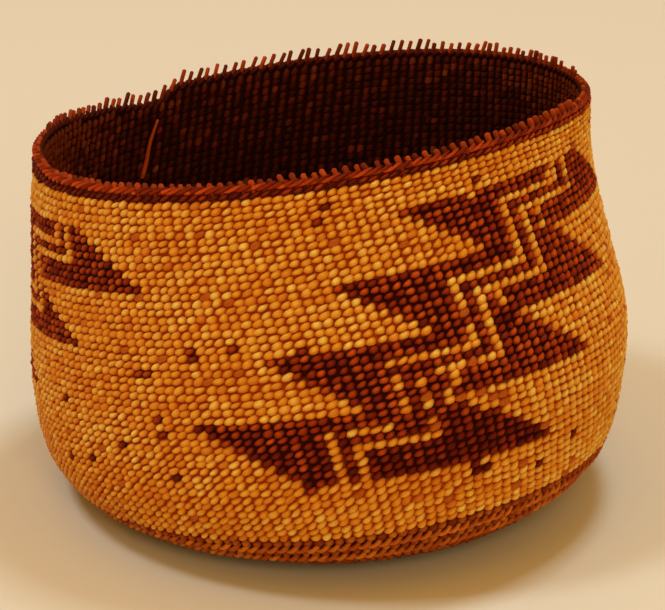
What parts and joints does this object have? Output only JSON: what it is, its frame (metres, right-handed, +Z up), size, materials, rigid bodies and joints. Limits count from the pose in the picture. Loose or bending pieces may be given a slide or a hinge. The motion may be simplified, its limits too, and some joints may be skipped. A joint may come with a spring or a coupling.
{
  "type": "twined bowl basket",
  "caption": "Deep round-bottomed bowl basket twined from plant fibre, with stepped dark figures on a light ground and trimmed warp ends above a dark twined rim.",
  "frame": {"origin": "centre of the flat underside of the base", "axes": "+Z up, front of the picture towards -Y, +X to the right of the picture"},
  "size_m": [0.1603, 0.162, 0.1161],
  "materials": {
    "light_overlay": "smooth golden grass overlay, soft sheen",
    "dark_overlay": "dark red-brown stem overlay, soft sheen",
    "root_weft": "plain twined root, matt",
    "inner_root_weft": "plain twined root darkened with age, matt",
    "dark_rim_weft": "dark twined root, matt",
    "warp_sticks": "peeled shoots, matt"
  },
  "bodies": {
    "root": {"light_overlay": "light_overlay", "dark_figure_1": "dark_overlay", "dark_figure_2": "dark_overlay", "dark_figure_3": "dark_overlay", "base_weft": "root_weft", "turn_rows": "root_weft", "inner_base_weft": "inner_root_weft", "inner_wall_weft": "inner_root_weft", "rim_rows": "dark_rim_weft", "rim_strand_1": "dark_rim_weft", "rim_strand_2": "dark_rim_weft", "rim_strand_3": "dark_rim_weft", "start_warps_lower": "warp_sticks", "start_warps_upper": "warp_sticks", "added_warps_1": "warp_sticks", "added_warps_2": "warp_sticks", "added_warps_3": "warp_sticks", "added_warps_4": "warp_sticks"}
  },
  "joints": []
}
